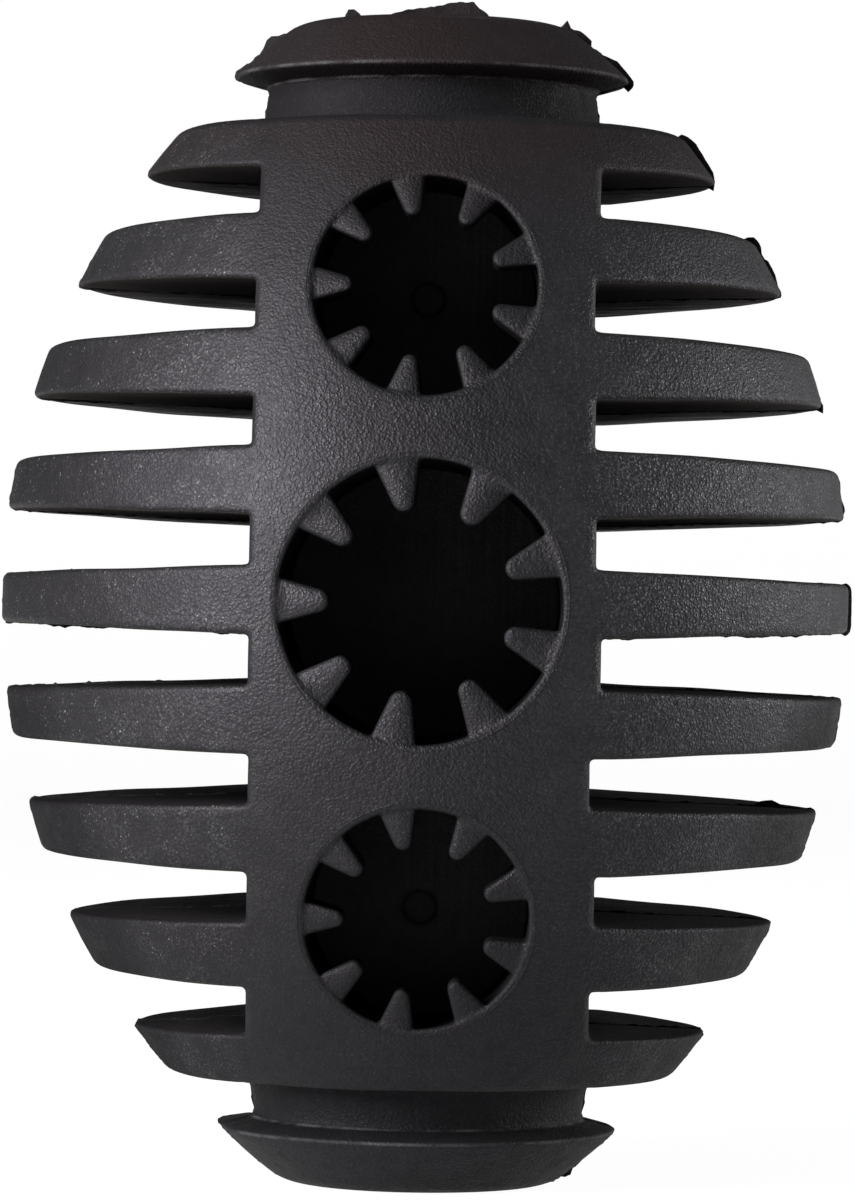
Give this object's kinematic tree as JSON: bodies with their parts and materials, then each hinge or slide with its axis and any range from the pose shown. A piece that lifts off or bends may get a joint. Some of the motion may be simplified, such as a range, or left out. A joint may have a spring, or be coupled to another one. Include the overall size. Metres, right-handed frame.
{
  "type": "rubber chew toy",
  "caption": "Rugby-ball shaped solid rubber chew toy with rows of side fins that clean a dog's teeth and toothed round pockets for treats.",
  "frame": {"origin": "middle of the toy, on its long axis, halfway between its two flat ends", "axes": "+Z along the toy's long axis towards its top cap, -Y out of the front face with the pockets that the picture shows, +X towards the right row of fins"},
  "size_m": [0.0844, 0.0828, 0.1154],
  "materials": {
    "black_rubber": "matt black natural rubber with a fine leathery grain, slightly shiny on worn edges"
  },
  "bodies": {
    "root": {"core_web": "black_rubber", "core_front": "black_rubber", "core_back": "black_rubber", "fin_left_1": "black_rubber", "fin_left_2": "black_rubber", "fin_left_3": "black_rubber", "fin_left_4": "black_rubber", "fin_left_5": "black_rubber", "fin_left_6": "black_rubber", "fin_left_7": "black_rubber", "fin_left_8": "black_rubber", "fin_left_9": "black_rubber", "fin_right_1": "black_rubber", "fin_right_2": "black_rubber", "fin_right_3": "black_rubber", "fin_right_4": "black_rubber", "fin_right_5": "black_rubber", "fin_right_6": "black_rubber", "fin_right_7": "black_rubber", "fin_right_8": "black_rubber", "fin_right_9": "black_rubber", "neck_top": "black_rubber", "neck_bottom": "black_rubber", "cap_top": "black_rubber", "cap_bottom": "black_rubber", "teeth_front_top": "black_rubber", "teeth_front_middle": "black_rubber", "teeth_front_bottom": "black_rubber", "teeth_back_top": "black_rubber", "teeth_back_middle": "black_rubber", "teeth_back_bottom": "black_rubber"}
  },
  "joints": []
}
